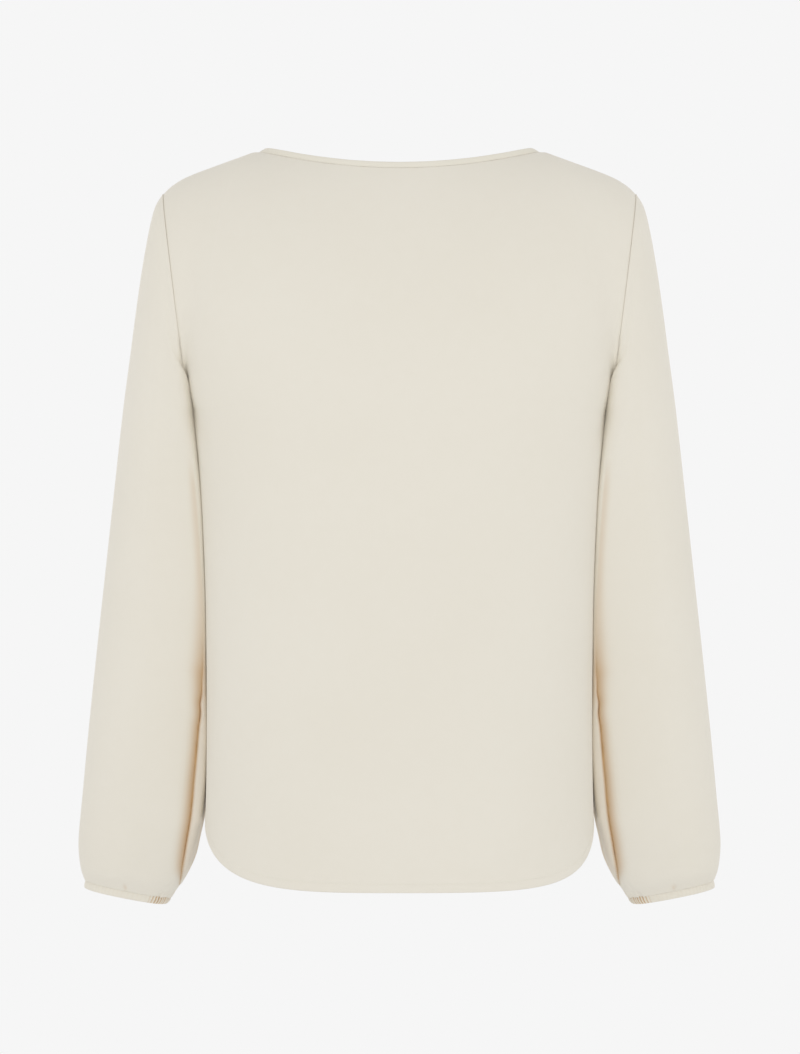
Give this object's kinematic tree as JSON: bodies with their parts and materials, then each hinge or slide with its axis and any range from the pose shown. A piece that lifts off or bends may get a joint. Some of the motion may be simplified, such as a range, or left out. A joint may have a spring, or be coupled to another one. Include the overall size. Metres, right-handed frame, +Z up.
{
  "type": "long-sleeved blouse",
  "caption": "Pullover blouse with set-in full-length sleeves gathered into narrow elastic cuffs, a wide bound neck and a curved shirt-tail hem, filled out as worn.",
  "frame": {"origin": "midway between the neck ends of the two shoulder seams, level with them, where the wearer's shoulders carry the blouse", "axes": "+Z up, +Y out of the blouse's front, +X to the wearer's right"},
  "size_m": [0.5658, 0.2576, 0.6631],
  "materials": {
    "blouse_cloth": "soft crepe weave, matt with a faint sheen",
    "cuff_casing": "the same crepe, gathered by elastic",
    "neck_binding": "the same crepe as a narrow bias binding"
  },
  "bodies": {
    "root": {"back_panel": "blouse_cloth", "front_panel": "blouse_cloth", "sleeve_left": "blouse_cloth", "sleeve_right": "blouse_cloth", "cuff_left": "cuff_casing", "cuff_right": "cuff_casing", "neck_binding": "neck_binding"}
  },
  "joints": []
}
